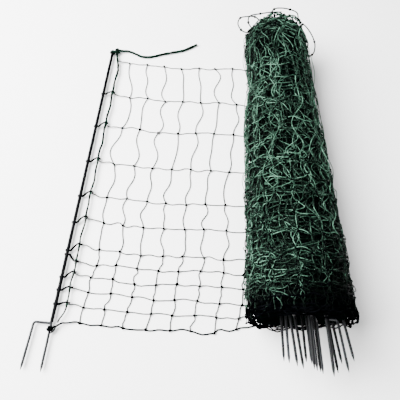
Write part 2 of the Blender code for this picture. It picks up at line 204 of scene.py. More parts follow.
def twine(name, dark, light, fleck, fleck_share, pitch, gloss, deep=1.0):
    """Twisted twine. The pitch is one turn of the twist, and deep is how much shade can darken it."""
    plain = tuple((a + b) / 2 for a, b in zip(dark, light))
    made = Finish(name, Specular_IOR_Level=gloss, Base_Color=(*plain, 1.0))
    phase = made.attribute("along") * (2 * math.pi / pitch)
    turn = made.node("ShaderNodeSeparateXYZ", None, {0: made.attribute("turn", "Vector")})
    side, up = (Wire(made, turn.outputs[i]) for i in (0, 1))
    twist = made.maths("COSINE", phase) * side + made.maths("SINE", phase) * up
    ridge = made.clamped(twist * 0.5 + 0.5)
    tone = made.attribute("tone")
    wear = made.clamped((made.noise(WEAR_SIZE) - 0.5) * 3.0 + 0.5)
    # the ridge term makes the twist's crests paler and its grooves darker: painted light and shade
    shade = made.clamped(tone * 0.70 + ridge * 0.20 + wear * 0.55 - 0.25)
    shade = shade * shade
    flecks = made.clamped((made.noise(FLECK_SIZE) - (1 - fleck_share)) * 9.0)
    body = made.between(shade, dark, light)
    colour = made.between(flecks * 0.75, body, fleck)
    # depth darkens the colour: painted shade deep in the roll and on its side away from the key light, and
    # darker at the foot and top
    sunk = made.clamped(made.attribute("depth") * deep)
    made.drive("Base Color", made.between(sunk, colour, tuple(c * DEEP_SHARE for c in dark)))
    made.drive("Roughness", made.clamped(wear * 0.25 + 0.42 - flecks * 0.12))
    made.bump(ridge, 0.5, THREAD_HEIGHT)
    return made.material


GREEN_TWINE = twine("green_twine", (0.0003, 0.0032, 0.0017), (0.080, 0.178, 0.122),
                    (0.26, 0.38, 0.31), fleck_share=0.36, pitch=0.012, gloss=0.02)
PANEL_TWINE = twine("panel_twine", (0.0006, 0.0016, 0.0011), (0.006, 0.010, 0.008),
                    (0.05, 0.06, 0.055), fleck_share=0.28, pitch=0.012, gloss=0.03)
BLACK_TWINE = twine("black_twine", (0.0001, 0.0002, 0.0003), (0.0022, 0.0025, 0.0032),
                    (0.018, 0.021, 0.024), fleck_share=0.27, pitch=0.016, gloss=0.0, deep=0.35)
PALE_TWINE = twine("pale_twine", (0.002, 0.010, 0.006), (0.012, 0.040, 0.027),
                   (0.06, 0.13, 0.10), fleck_share=0.33, pitch=0.010, gloss=0.02)
ROPE_TWINE = twine("rope_twine", (0.0003, 0.0022, 0.0013), (0.0035, 0.0180, 0.0110),
                   (0.04, 0.10, 0.075), fleck_share=0.33, pitch=0.018, gloss=0.02)
print("twine finishes", len(bpy.data.materials))

# %% [markdown]
# Between the strands only the dark inside of the roll shows. Its finish is nearly black, painted shade
# for the deep turns of twine, with faint streaks along the roll.


# %% Finish of the roll's inside
def deep_net():
    # the near-black colour is painted shade for the deep turns of twine
    made = Finish("deep_net", Specular_IOR_Level=0.0, Base_Color=(0.0004, 0.0017, 0.0010, 1.0))
    streaks = made.clamped((made.noise(130.0, 3.0, (1.0, 0.25, 1.0)) - 0.45) * 3.0)
    made.drive("Base Color", made.between(streaks, (0.0001, 0.0004, 0.0003), (0.0006, 0.0030, 0.0018)))
    made.drive("Roughness", made.clamped(streaks * 0.2 + 0.7))
    made.bump(streaks, 0.6, 0.002)
    return made.material


DEEP_NET = deep_net()

# %% [markdown]
# ## Plastic and steel
#
# The posts are drawn plastic rod, nearly black, with fine scratches along them. The clips and knots are
# moulded in black plastic. The ground spikes are steel rod with a dull zinc coat, streaked along its
# length and darker where it has been in the soil.


# %% Plastic and steel finishes
def post_plastic():
    made = Finish("post_plastic", Specular_IOR_Level=0.03, Base_Color=(0.0010, 0.0012, 0.0017, 1.0))
    scratches = made.noise(900.0, 2.0, (1.0, 0.012, 1.0))
    dust = made.noise(22.0, 4.0)
    dusty = made.clamped(dust * 1.4 - 0.45)
    made.drive("Base Color", made.between(dusty, (0.0004, 0.0005, 0.0008), (0.0020, 0.0024, 0.0032)))
    made.drive("Roughness", made.clamped(scratches * 0.30 + 0.25))
    made.bump(scratches, 0.25, 0.0003)
    return made.material


def moulded_black():
    made = Finish("moulded_black", Specular_IOR_Level=0.0, Base_Color=(0.0006, 0.0007, 0.0009, 1.0))
    grain = made.noise(700.0, 2.0)
    cloud = made.noise(45.0, 3.0)
    made.drive("Base Color", made.between(cloud, (0.0002, 0.0002, 0.0003), (0.0012, 0.0013, 0.0016)))
    made.drive("Roughness", made.clamped(grain * 0.25 + 0.30))
    made.bump(grain, 0.2, 0.0003)
    return made.material


def spike_steel():
    made = Finish("spike_steel", Specular_IOR_Level=0.08, Base_Color=(0.020, 0.021, 0.023, 1.0))
    tone = made.attribute("tone")
    streaks = made.clamped((made.noise(260.0, 3.0, (1.0, 0.03, 1.0)) - 0.5) * 2.0 + 0.5)
    soil = made.clamped((made.noise(24.0, 4.0) - 0.52) * 5.0)
    colour = made.between(tone, (0.0002, 0.0003, 0.0004), (0.055, 0.059, 0.064))
    colour = made.between(streaks * 0.5, colour, (0.004, 0.004, 0.005))
    made.drive("Base Color", made.between(soil * 0.35, colour, (0.006, 0.005, 0.004)))
    made.drive("Metallic", made.clamped(0.30 - soil * 0.2))
    made.drive("Roughness", made.clamped(streaks * 0.2 + 0.35 + soil * 0.2))
    made.bump(streaks, 0.3, 0.0003)
    return made.material


POST_PLASTIC = post_plastic()
MOULDED_BLACK = moulded_black()
SPIKE_STEEL = spike_steel()
print("finishes", len(bpy.data.materials))

# %% [markdown]
# ## Geometry Nodes for twine and knots
#
# A net is thousands of thin tubes and knots, so the script only works out the lines that the strands
# follow. One node tree turns every line into a tube, and another puts a knot on every crossing. Both
# end in Realize Instances and Set Material, so the result is a plain mesh.


# %% Node trees
class Tree:
    """A Geometry Nodes tree with named inputs."""

    def __init__(self, name, inputs):
        self.tree = bpy.data.node_groups.new(name, "GeometryNodeTree")
        face = self.tree.interface
        face.new_socket("Geometry", in_out="INPUT", socket_type="NodeSocketGeometry")
        self.names = {}
        for title, kind, value in inputs:
            socket = face.new_socket(title, in_out="INPUT", socket_type="NodeSocket" + kind)
            if value is not None:
                socket.default_value = value
            self.names[title] = socket.identifier
        face.new_socket("Geometry", in_out="OUTPUT", socket_type="NodeSocketGeometry")
        self.given = self.tree.nodes.new("NodeGroupInput")
        self.result = self.tree.nodes.new("NodeGroupOutput")

    def add(self, kind, settings=None, sockets=None):
        whole = kind.startswith(("FunctionNode", "ShaderNode"))
        made = self.tree.nodes.new(kind if whole else "GeometryNode" + kind)
        for name, value in (settings or {}).items():
            setattr(made, name, value)
        for name, value in (sockets or {}).items():
            if isinstance(value, bpy.types.NodeSocket):
                self.tree.links.new(value, made.inputs[name])
            else:
                made.inputs[name].default_value = value
        return made

    def close(self, geometry):
        """The last steps of every tree: make it real, smooth it and give it its finish."""
        real = self.add("RealizeInstances", None, {"Geometry": geometry})
        smooth = self.add("SetShadeSmooth", None, {"Geometry": real.outputs[0]})
        painted = self.add("SetMaterial", None,
                           {"Geometry": smooth.outputs[0], "Material": self.given.outputs["Finish"]})
        self.tree.links.new(painted.outputs[0], self.result.inputs[0])

    def run(self, lines, name, values):
        """The tree's result on a mesh of lines or points, as a new object at the origin."""
        holder = bpy.data.objects.new(name, lines)
        bpy.context.scene.collection.objects.link(holder)
        modifier = holder.modifiers.new(name, "NODES")
        modifier.node_group = self.tree
        for title, value in values.items():
            modifier[self.names[title]] = value
        graph = bpy.context.evaluated_depsgraph_get()
        mesh = bpy.data.meshes.new_from_object(holder.evaluated_get(graph))
        bpy.data.objects.remove(holder)
        mesh.name = name
        made = bpy.data.objects.new(name, mesh)
        bpy.context.scene.collection.objects.link(made)
        return made


def tube_tree():
    """Every line becomes a tube as thick as its attribute says."""
    tree = Tree("twine_tubes", [("Sides", "Int", 5), ("Finish", "Material", None)])
    curve = tree.add("MeshToCurve", None, {"Mesh": tree.given.outputs["Geometry"]})
    parameter = tree.add("SplineParameter")
    kept = tree.add("StoreNamedAttribute", {"data_type": "FLOAT", "domain": "POINT"},
                    {"Geometry": curve.outputs[0], "Name": "along", "Value": parameter.outputs["Length"]})
    ring = tree.add("CurvePrimitiveCircle", {"mode": "RADIUS"},
                    {"Resolution": tree.given.outputs["Sides"], "Radius": 1.0})
    place = tree.add("InputPosition")
    around = tree.add("StoreNamedAttribute", {"data_type": "FLOAT_VECTOR", "domain": "POINT"},
                      {"Geometry": ring.outputs[0], "Name": "turn", "Value": place.outputs[0]})
    thick = tree.add("InputNamedAttribute", {"data_type": "FLOAT"}, {"Name": "thick"})
    tube = tree.add("CurveToMesh", None,
                    {"Curve": kept.outputs[0], "Profile Curve": around.outputs[0],
                     "Scale": thick.outputs["Attribute"], "Fill Caps": True})
    tree.close(tube.outputs[0])
    return tree


KNOT_SMALLEST = (0.85, 0.85, 0.75)  # shares of a knot's size along its three axes
KNOT_LARGEST = (1.2, 1.2, 1.05)


def knot_tree():
    """A lumpy bead on every point, each with its own turn and proportions."""
    tree = Tree("knots", [("Size", "Float", 0.0035), ("Segments", "Int", 6), ("Rings", "Int", 4),
                          ("Seed", "Int", 3), ("Finish", "Material", None)])

    def random_vector(low, high):
        return tree.add("FunctionNodeRandomValue", {"data_type": "FLOAT_VECTOR"},
                        {0: low, 1: high, "Seed": tree.given.outputs["Seed"]}).outputs[0]

    points = tree.add("MeshToPoints", None, {"Mesh": tree.given.outputs["Geometry"]})
    bead = tree.add("MeshUVSphere", None, {"Segments": tree.given.outputs["Segments"],
                                           "Rings": tree.given.outputs["Rings"], "Radius": 1.0})
    scale = tree.add("ShaderNodeVectorMath", {"operation": "SCALE"},
                     {0: random_vector(KNOT_SMALLEST, KNOT_LARGEST), "Scale": tree.given.outputs["Size"]})
    turned = tree.add("FunctionNodeEulerToRotation", None,
                      {0: random_vector((0, 0, 0), (2 * math.pi,) * 3)})
    placed = tree.add("InstanceOnPoints", None, {"Points": points.outputs[0], "Instance": bead.outputs[0],
                                                 "Rotation": turned.outputs[0], "Scale": scale.outputs[0]})
    tree.close(placed.outputs[0])
    return tree


TUBES = tube_tree()
KNOTS = knot_tree()
print("node trees", [tree.name for tree in bpy.data.node_groups])

# %% [markdown]
# The trees are fed with bare lines. A line is an array of points, and each line says how thick its
# strand is, its shade, and its depth: how much painted shade darkens it, deep in the roll and elsewhere.


# %% Lines to feed the trees
def line_mesh(name, lines):
    """A mesh of edges along lines. Each line is (points, radius, tone, depth)."""
    places = np.concatenate([points for points, _, _, _ in lines])
    counts = [len(points) for points, _, _, _ in lines]
    ends = np.cumsum(counts)
    starts = ends - counts
    edges = [np.stack([np.arange(a, b - 1), np.arange(a + 1, b)], 1) for a, b in zip(starts, ends)]
    mesh = bpy.data.meshes.new(name)
    mesh.from_pydata(places.tolist(), np.concatenate(edges).tolist(), [])
    for title, slot in (("thick", 1), ("tone", 2), ("depth", 3)):
        values = np.concatenate([np.broadcast_to(line[slot], n) for line, n in zip(lines, counts)])
        mesh.attributes.new(title, "FLOAT", "POINT").data.foreach_set("value", values.astype(np.float32))
    return mesh


def say(made, count, kind):
    triangles = sum(len(p.vertices) - 2 for p in made.data.polygons)
    print(made.name, count, kind, triangles, "triangles")


def strands(name, lines, material, sides=5):
    made = TUBES.run(line_mesh(name, lines), name, {"Sides": sides, "Finish": material})
    say(made, len(lines), "strands")
    return made


def knots(name, places, size, segments=6, rings=4):
    mesh = bpy.data.meshes.new(name)
    mesh.from_pydata([tuple(p) for p in places], [], [])
    made = KNOTS.run(mesh, name, {"Size": size, "Segments": segments, "Rings": rings,
                                  "Finish": MOULDED_BLACK})
    say(made, len(places), "knots")
    return made


def smooth_line(points, pieces):
    """Points on the smooth curve through others, with so many pieces between each two."""
    points = np.asarray(points, float)
    before = np.vstack([2 * points[0] - points[1], points[:-2]])
    after = np.vstack([points[2:], 2 * points[-1] - points[-2]])
    start, end = points[:-1], points[1:]
    t = (np.arange(pieces) / pieces)[None, :, None]
    a, b, c, d = (x[:, None, :] for x in (before, start, end, after))
    squared = (2 * a - 5 * b + 4 * c - d) * t * t
    cubed = (3 * b - a - 3 * c + d) * t ** 3
    curve = 0.5 * (2 * b + (c - a) * t + squared + cubed)
    return np.vstack([curve.reshape(-1, 3), points[-1]])


# %% [markdown]
# ## Where the net lies
#
# The level strands and the upright strands of the panel are straight in the CAD model. Each one's line
# is read from its box, and a knot belongs where two lines cross.

# %% Read the net's lines
ROWS = 12
COLUMNS = 9  # the ninth is already under the roll
TWINE = 0.0015
UPRIGHT_TWINE = 0.0014
BOTTOM_TWINE = 0.0022
PANEL_FULLNESS = 1.25  # the panel's twine lies loose and full, and the wound twine is pulled thin
WOUND_FULLNESS = 0.86
KNOT_LIFT = 0.0031


def row_ends(row):
    low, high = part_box(f"horizontal_strand_{row:02d}")
    return np.array([low.x, high.y - TWINE]), np.array([high.x, low.y + TWINE])


def upright_ends(column):
    low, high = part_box(f"upright_strand_{column}")
    return np.array([low.x + UPRIGHT_TWINE, low.y]), np.array([high.x - UPRIGHT_TWINE, high.y])


first_foot, first_top = upright_ends(1)
UP = (first_top - first_foot) / np.linalg.norm(first_top - first_foot)
rope_side, fold_side = row_ends(ROWS // 2)
ALONG = (fold_side - rope_side) / np.linalg.norm(fold_side - rope_side)
ACROSS = np.array([UP[1], -UP[0]])
LAST_WHOLE = 7  # the last upright that is seen from top to bottom
PITCH = (upright_ends(LAST_WHOLE)[0] - first_foot) @ ACROSS / (ALONG @ ACROSS) / (LAST_WHOLE - 1)
row_starts = np.array([row_ends(row)[0] for row in range(1, ROWS + 1)])
ROW_HEIGHTS = np.linalg.solve(np.array([ALONG, UP]).T, (row_starts - first_foot).T)[1]
ROW_HEIGHTS -= ROW_HEIGHTS[-1]
print("pitch", round(PITCH, 4), "rows", ROW_HEIGHTS.round(3))

# %% [markdown]
# Real netting never lies quite straight. Each row is pulled a little to one side, and the strands sag
# towards the spikes between the post and the roll. These small values are listed here.

# %% How the panel really lies
ROW_PULLS = np.array([-.004, .025, .017, .013, .012, .017, .022, .018, .017, .015, .009, .005])
COLUMN_SAGS = np.array([-.008, -.007, -.015, -.017, -.013, -.008, -.009, -.010, -.010])
EDGE_BAND = 0.16  # the net sags less within this distance of its top and foot
KNOT_STRAY = (0.0025, 0.0028)  # spread of the knots along the rows, and up and down
FOOT_CLIMBS = {ROWS - 2: 0.004, ROWS - 1: 0.016}  # the last two rows climb to the roll
slack = np.random.default_rng(12)


def crossings():
    """Where the knots of the panel are, by row from the top and by column from the post."""
    rows = []
    for row in range(ROWS):
        edge = min(1.0, ROW_HEIGHTS[row] / EDGE_BAND,
                   (ROW_HEIGHTS[0] - ROW_HEIGHTS[row]) / EDGE_BAND + 0.5)
        along = PITCH * np.arange(COLUMNS) + ROW_PULLS[row] + slack.normal(0, KNOT_STRAY[0], COLUMNS)
        up = ROW_HEIGHTS[row] + COLUMN_SAGS * (0.6 + 0.4 * edge) + slack.normal(0, KNOT_STRAY[1], COLUMNS)
        up = up + FOOT_CLIMBS.get(row, 0.0) * np.clip(np.arange(COLUMNS) - (COLUMNS - 3), 0, 2)
        rows.append(first_foot + along[:, None] * ALONG + up[:, None] * UP)
    return np.array(rows)


CROSSINGS = crossings()
print("panel knots", CROSSINGS.shape[:2])


def wavy(start, end, pieces, sway):
    """Points from start to end that swing sideways on the ground, as slack twine does."""
    t = np.linspace(0, 1, pieces + 1)
    across = np.array([-(end - start)[1], (end - start)[0]])
    size = slack.normal(0, sway, 3) * (1.0, 0.8, 0.35)
    swing = sum(s * np.sin((k + 1) * math.pi * t) for k, s in enumerate(size))
    places = start + t[:, None] * (end - start) + swing[:, None] * across
    lift = KNOT_LIFT - (KNOT_LIFT - TWINE * 1.1) * np.minimum(1, np.sin(math.pi * t) * 2.2)
    return np.column_stack([places, lift])


# %% [markdown]
# ## The roll's shape
#
# The CAD roll is a cone, pressed flat below. A point of the wound net is given by its angle round the
# roll, its distance from the middle as a share of the roll's radius, and its place along the roll.
# The angle starts at the ground and goes up on the side away from the panel, as the net does once it has
# run in under the roll.

# %% Read the roll's shape
roll_low, roll_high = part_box("wound_net")
corners = np.array([v.co for v in frame["nodes"]["wound_net"].data.vertices])
RIM = 0.020
FOOT_RADIUS = roll_high.x
TOP_RADIUS = corners[corners[:, 1] > roll_high.y - RIM][:, 0].max()
ROLL_LENGTH = roll_high.y - roll_low.y
PRESSED = roll_high.z / FOOT_RADIUS - 1.0  # height of the axis over the radius
FLOOR_PAD = 0.0028
DENT = (0.085, 0.36, 0.11)  # on the panel's side: share of the radius, middle, and reach along the roll


def roll_radius(y):
    return FOOT_RADIUS + (TOP_RADIUS - FOOT_RADIUS) * (y - roll_low.y) / ROLL_LENGTH


def on_roll(angle, share, y, out=0.0):
    """World places on the roll. The underside is pressed flat on the ground, layer on layer."""
    radius = roll_radius(y)
    deep, middle, length = DENT
    lumps = 1 + 0.016 * np.sin(2 * angle + 5 * y) + 0.012 * np.sin(3 * angle - 9 * y + 1)
    lumps = lumps + 0.010 * np.sin(21 * y + angle)
    side = np.clip(-np.sin(angle), 0, 1)
    lumps = lumps - deep * side * np.exp(-((y - middle) / length) ** 2)
    reach = radius * share * lumps + out
    x = reach * np.sin(angle)
    z = radius * PRESSED - reach * np.cos(angle)
    z = FLOOR_PAD + 0.5 * (z - FLOOR_PAD + np.sqrt((z - FLOOR_PAD) ** 2 + 0.012 ** 2))
    return np.stack([x, y + 0 * x, z], -1)


print("roll radius", round(FOOT_RADIUS, 4), round(TOP_RADIUS, 4), "axis share", round(PRESSED, 3))

# %% [markdown]
# ## The wound net
#
# A 25 m net leaves about 24 m on the roll, which is some thirty turns. It is built as what it is: every
# turn of the real net, with its twelve rows, its upright strands and its knots. The first turns go
# loosely round the posts, and the later ones are pulled tight over them. The winding is uneven, so each
# knot wanders, each turn slips along the roll, and the twine bows out between its knots. A painted
# cylinder would be far lighter, but only real strands give the open, shaggy look of a wound net.

# %% Wind the net
NET_LENGTH = 25.0
INNER_SHARE = 0.20  # radius of the innermost turn over the roll's
BAND_SHARE = 0.86  # radius where the tight turns start
SHOWN_SHARE = BAND_SHARE - 0.02  # deeper strands can't be seen, apart from those at the ends
LOOSE_TURNS = 9
SLIP = 0.050  # how far the inner turns stand out at the top end
TOP_ROOM = 0.030  # strands that stray past this distance from the top end are squeezed together
ROW_SPREAD = 0.28  # how far a row strays along the roll, over the widest gap between rows
KNOT_SPREAD = 0.13  # how far a knot strays from its row, over the same gap
FIRST_WOUND = 0.4  # pitches from the fold to the first wound column
ROLL_RADIUS = (FOOT_RADIUS + TOP_RADIUS) / 2
wound = np.random.default_rng(7)


def softened(values, times):
    """Random values smoothed along the net, kept at their first spread."""
    spread = values.std()
    for _ in range(times):
        values = (np.roll(values, 1, 0) + 2 * values + np.roll(values, -1, 0)) / 4
    return values * spread / values.std()


def turn_shares():
    """The turns counted inwards, the radius share at each, and the net's length that each has used."""
    loose = LOOSE_TURNS * math.pi * ROLL_RADIUS * (BAND_SHARE + INNER_SHARE)
    tight = (NET_LENGTH - PITCH * COLUMNS - loose) / (math.pi * ROLL_RADIUS * (1 + BAND_SHARE))
    turns = np.linspace(0, tight + LOOSE_TURNS, 4000)
    share = np.interp(turns, [0, tight, tight + LOOSE_TURNS], [1, BAND_SHARE, INNER_SHARE])
    used = np.concatenate([[0], np.cumsum((share[1:] + share[:-1]) * math.pi * ROLL_RADIUS * np.diff(turns))])
    return turns, share, used


def wind():
    """Angle, radius share, place along the roll and lift of every knot, by column and row."""
    turns, share_at, used = turn_shares()
    distance = PITCH * (np.arange(int(used[-1] / PITCH)) + FIRST_WOUND)
    share = np.interp(distance, used, share_at)
    angle = 2 * math.pi * np.interp(distance, used, turns)
    print("wound", round(used[-1], 2), "m in", round(turns[-1], 1), "turns,", len(distance), "columns")
    shape = (len(distance), ROWS)
    gaps = -np.diff(ROW_HEIGHTS, prepend=2 * ROW_HEIGHTS[0] - ROW_HEIGHTS[1])
    widest = gaps.max()
    room = np.minimum(gaps, np.append(gaps[1:], gaps[-1])) / widest  # round each row of knots
    loose = (0.02 + KNOT_SPREAD * room) * widest
    stray = (softened(wound.normal(0, 0.8, shape), 3) + wound.normal(0, 0.5, shape)) * loose
    angles = angle[:, None] + stray / (ROLL_RADIUS * share[:, None])
    inward = np.clip((1 - share) / (1 - BAND_SHARE), 0, 1)[:, None]
    slip = 0.012 + SLIP * inward + softened(wound.normal(0, 0.020, (len(distance), 1)), 16)
    shrink = 1 - np.clip(0.03 + softened(wound.normal(0, 0.045, (len(distance), 1)), 12), -0.025, 0.12)
    rows = softened(wound.normal(0, 1.0, shape), 14) * (0.01 + ROW_SPREAD * room) * widest
    rows = rows + (softened(wound.normal(0, 0.5, shape), 4) + wound.normal(0, 0.3, shape)) * loose
    y = roll_low.y + 0.008 + np.abs(slip) + rows + ROW_HEIGHTS[None, :] * shrink
    y = np.maximum(y, roll_low.y + 0.002 + 0.01 * wound.random(shape))
    over = y - (roll_high.y - TOP_ROOM)
    y = np.where(over > 0, roll_high.y - TOP_ROOM + over * 0.45, y)
    out = wound.normal(0, 0.0024, shape)
    return np.stack([angles, np.repeat(share[:, None], ROWS, 1), y, out])


KNOTS_AT = wind()

# %% [markdown]
# Each strand runs from knot to knot in a bow. Its colour gets painted shade where it lies deep in the
# roll and on the roll's lower side away from the key light, and it is darker at the foot and at the top
# near the panel. Deep strands are left out where nothing of them shows.


# %% Bow and shade the strands
SHADE_DEPTH = 15.0
FOOT_SHADE, SIDE_SHADE, TOP_SHADE = 0.65, 0.6, 0.6
DARK_FOOT_HEIGHT = 0.50
UPRIGHT_STEP = 0.011  # length of one straight piece of an upright
END_ROWS = (0, ROWS - 2, ROWS - 1)
ROW_BOW = (0.02, 0.0, 0.0060, 0.0030)  # spread in angle, share, place along the roll, and lift
UPRIGHT_BOW = 0.14  # spread of an upright's bow over the gap between its knots


def bowed(knots_at, sway, pieces):
    """A strand through knots given as (angle, share, y, out), bowing between them."""
    a, b = knots_at[:, :-1, None], knots_at[:, 1:, None]
    t = np.linspace(0, 1, pieces, endpoint=False)[None, None, :]
    count = knots_at.shape[1] - 1
    first, second, third = wound.normal(0, 1, (3, 4, count, 1))
    wave = first * np.sin(math.pi * t) + 0.6 * second * np.sin(2 * math.pi * t)
    wave = wave + 0.4 * third * np.sin(3 * math.pi * t)
    line = a + (b - a) * t + np.array(sway)[:, None, None] * wave
    return np.column_stack([line.reshape(4, -1), knots_at[:, -1]])


def shade(line):
    """How dark each point is: painted shade in deep turns and on the lower side away from the key light, and
    darker at the foot and at the top near the panel.
    """
    angle, share, y, _ = line
    side = np.sin(angle)
    # darker towards the foot of the roll
    foot = np.clip(1 - (y - roll_low.y - 0.03) / 0.10, 0, 1)
    # painted shade on the lower part of the roll's side away from the key light
    side_shade = np.clip(1 - (y - roll_low.y) / 0.46, 0, 1) * np.clip(side * 1.2 + 0.65, 0, 1.2)
    top = np.clip((y - roll_high.y + 0.24) / 0.14, 0, 1) * np.clip(0.25 - side * 1.1, 0, 1)
    # painted shade of the deep turns, which the outer turns hide from the light
    sunk = np.clip((0.99 - share) * SHADE_DEPTH, 0, 1)
    return sunk + FOOT_SHADE * foot + SIDE_SHADE * side_shade + TOP_SHADE * top


def patchy(count):
    """Shades along a strand, pale and dark by turns."""
    return np.clip(softened(wound.normal(0.22, 0.50, count), 5), 0, 1)


def darker_at_foot(tone, points):
    """Near the foot most of the twine is darker, and only a few strands stay pale."""
    low = np.clip(1 - (points[:, 1] - roll_low.y) / DARK_FOOT_HEIGHT, 0, 1)
    return tone ** (1 + 4.5 * low)


def wound_rows():
    """Each row's line and shade. The top row and the last two are seen at the ends, however deep."""
    made = []
    for row in range(ROWS):
        line = bowed(KNOTS_AT[:, :, row], ROW_BOW, 8)
        if row not in END_ROWS:
            line = line[:, :int((line[1] > SHOWN_SHARE).sum())]
        made.append((on_roll(*line), shade(line)))
    return made


def wound_uprights():
    """Each upright's line and shade. Of a deep one only the last two gaps at the foot are made."""
    made = []
    for knots_at in KNOTS_AT.transpose(1, 0, 2):
        share = knots_at[1, 0]
        first = 0 if share > SHOWN_SHARE else ROWS - 3
        pieces = []
        for row in range(first, ROWS - 1):
            gap = ROW_HEIGHTS[row] - ROW_HEIGHTS[row + 1]
            swing = gap * UPRIGHT_BOW
            sway = (swing / (ROLL_RADIUS * share), 0.0, swing * 0.1, min(swing * 0.24, 0.0035))
            pieces.append(bowed(knots_at[:, row:row + 2], sway, max(4, round(gap / UPRIGHT_STEP)))[:, :-1])
        pieces.append(knots_at[:, -1:])
        line = np.concatenate(pieces, 1)
        made.append((on_roll(*line), shade(line)))
    return made


# %% [markdown]
# The strands are gathered into pieces of one finish. The bottom string is black. Every other strand is
# green, and goes from dark to pale and back along its length.

# %% Build the wound strands
UPRIGHT_PIECES = 3
WOUND_KNOT = 0.0040


def green_lines(lines, thick):
    """Lines and shades with a thickness and a patchy tone, ready for the node tree."""
    return [(points, WOUND_FULLNESS * thick, darker_at_foot(patchy(len(points)), points), depth)
            for points, depth in lines]


def make_wound():
    made = []
    *green_rows, (bottom, depth) = wound_rows()
    green = green_lines(green_rows, TWINE)
    black = [(bottom, BOTTOM_TWINE, patchy(len(bottom)), depth)]
    for part, some in enumerate((green[:5], green[5:])):
        made.append(strands(f"wound_rows_{part + 1}", some, GREEN_TWINE))
    made.append(strands("wound_bottom_string", black, BLACK_TWINE, 6))
    green = green_lines(wound_uprights(), UPRIGHT_TWINE)
    bounds = [-(-len(green) * part // UPRIGHT_PIECES) for part in range(UPRIGHT_PIECES + 1)]
    for part, (first, last) in enumerate(zip(bounds, bounds[1:])):
        made.append(strands(f"wound_uprights_{part + 1}", green[first:last], GREEN_TWINE))
    deep = KNOTS_AT[1] < SHOWN_SHARE
    deep[:, END_ROWS] = False
    made.append(knots("wound_knots", on_roll(*KNOTS_AT[:, ~deep]), WOUND_KNOT))
    for piece in made:
        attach(piece, "roll")


make_wound()

# %% [markdown]
# The net is slack along its top string, so many turns of that string lie bunched up at the top end of
# the roll, with their knots. They are added as arcs of different lengths, side by side, and a few of
# them stand out past the end.

# %% Gather the top strings
TOP_STRINGS = 44
TOP_GATHER = 0.115  # how far down the roll they lie
STANDING_STRINGS = 9
TOP_KNOT = 0.0045
TOP_KNOT_STEPS = (13, 7)  # points between knots, on the lying and on the standing strings


def top_strings():
    lines, places = [], []
    for _ in range(TOP_STRINGS):
        begin, length = wound.uniform(0, 2 * math.pi), wound.uniform(1.6, 5.5)
        angle = begin + np.linspace(0, length, int(length * 22))
        y = roll_high.y + 0.012 - TOP_GATHER * wound.random() ** 1.4
        wave = 0.008 * np.sin(angle * wound.uniform(2, 5)) + 0.004 * np.sin(angle * wound.uniform(7, 12))
        share = wound.uniform(0.90, 1.0) + 0.012 * np.sin(angle * wound.uniform(3, 9))
        share = share * (1 - 0.10 * np.clip((y - roll_high.y + 0.03) / 0.04, 0, 1))
        points = on_roll(angle, share, y + wave)
        tone = np.clip(0.5 + 0.5 * np.sin(angle * wound.uniform(2, 6) + begin), 0, 1)
        # the last value is painted shade, given at random for each string
        lines.append((points, TWINE, tone, 0.15 + 0.6 * wound.random()))
        places += list(points[wound.integers(2, 9)::TOP_KNOT_STEPS[0]])
    for _ in range(STANDING_STRINGS):
        angle = math.pi + wound.uniform(-0.7, 0.7) + np.linspace(-0.7, 0.7, 30) * wound.uniform(0.6, 1.3)
        t = np.linspace(0, 1, len(angle))
        hump = np.sin(math.pi * t) ** 0.6 + 0.25 * np.sin(t * wound.uniform(9, 16))
        y = roll_high.y - 0.010 + wound.uniform(0.020, 0.055) * hump
        points = on_roll(angle, wound.uniform(0.74, 0.96) + 0.03 * np.sin(9 * t), y)
        lines.append((points, 1.3 * TWINE, wound.uniform(0.1, 0.9), 0.0))
        places += list(points[wound.integers(2, 7)::TOP_KNOT_STEPS[1]])
    return lines, places


top_lines, top_places = top_strings()
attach(strands("top_strings", top_lines, GREEN_TWINE), "roll")
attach(knots("top_string_knots", top_places, TOP_KNOT), "roll")

# %% [markdown]
# Some twine has sprung loose from the roll: a few loops stand out at the top end and at the foot. Each
# one's route is a list of given places, and a knot sits at every second place.

# %% Add the loose loops
LOOP_TWINE = 0.0027
LOOP_KNOT = 0.0056
TOP_LOOPS = (
    [(-0.060, 0.600, 0.200), (-0.085, 0.640, 0.190), (-0.115, 0.668, 0.165), (-0.140, 0.676, 0.150),
     (-0.150, 0.655, 0.140), (-0.138, 0.622, 0.138), (-0.118, 0.606, 0.140), (-0.096, 0.600, 0.150)],
    [(-0.095, 0.580, 0.180), (-0.110, 0.630, 0.170), (-0.100, 0.672, 0.165), (-0.060, 0.668, 0.180),
     (-0.020, 0.655, 0.200), (0.020, 0.640, 0.215)],
    [(-0.030, 0.620, 0.215), (-0.005, 0.672, 0.200), (0.030, 0.700, 0.180), (0.070, 0.708, 0.165),
     (0.100, 0.700, 0.155), (0.100, 0.660, 0.160), (0.085, 0.620, 0.170)],
    [(0.085, 0.560, 0.190), (0.120, 0.640, 0.150), (0.148, 0.612, 0.140), (0.164, 0.560, 0.135),
     (0.160, 0.515, 0.135), (0.145, 0.486, 0.140), (0.120, 0.470, 0.150)],
    [(0.100, 0.600, 0.160), (0.128, 0.590, 0.135), (0.140, 0.555, 0.125), (0.126, 0.530, 0.130)],
)
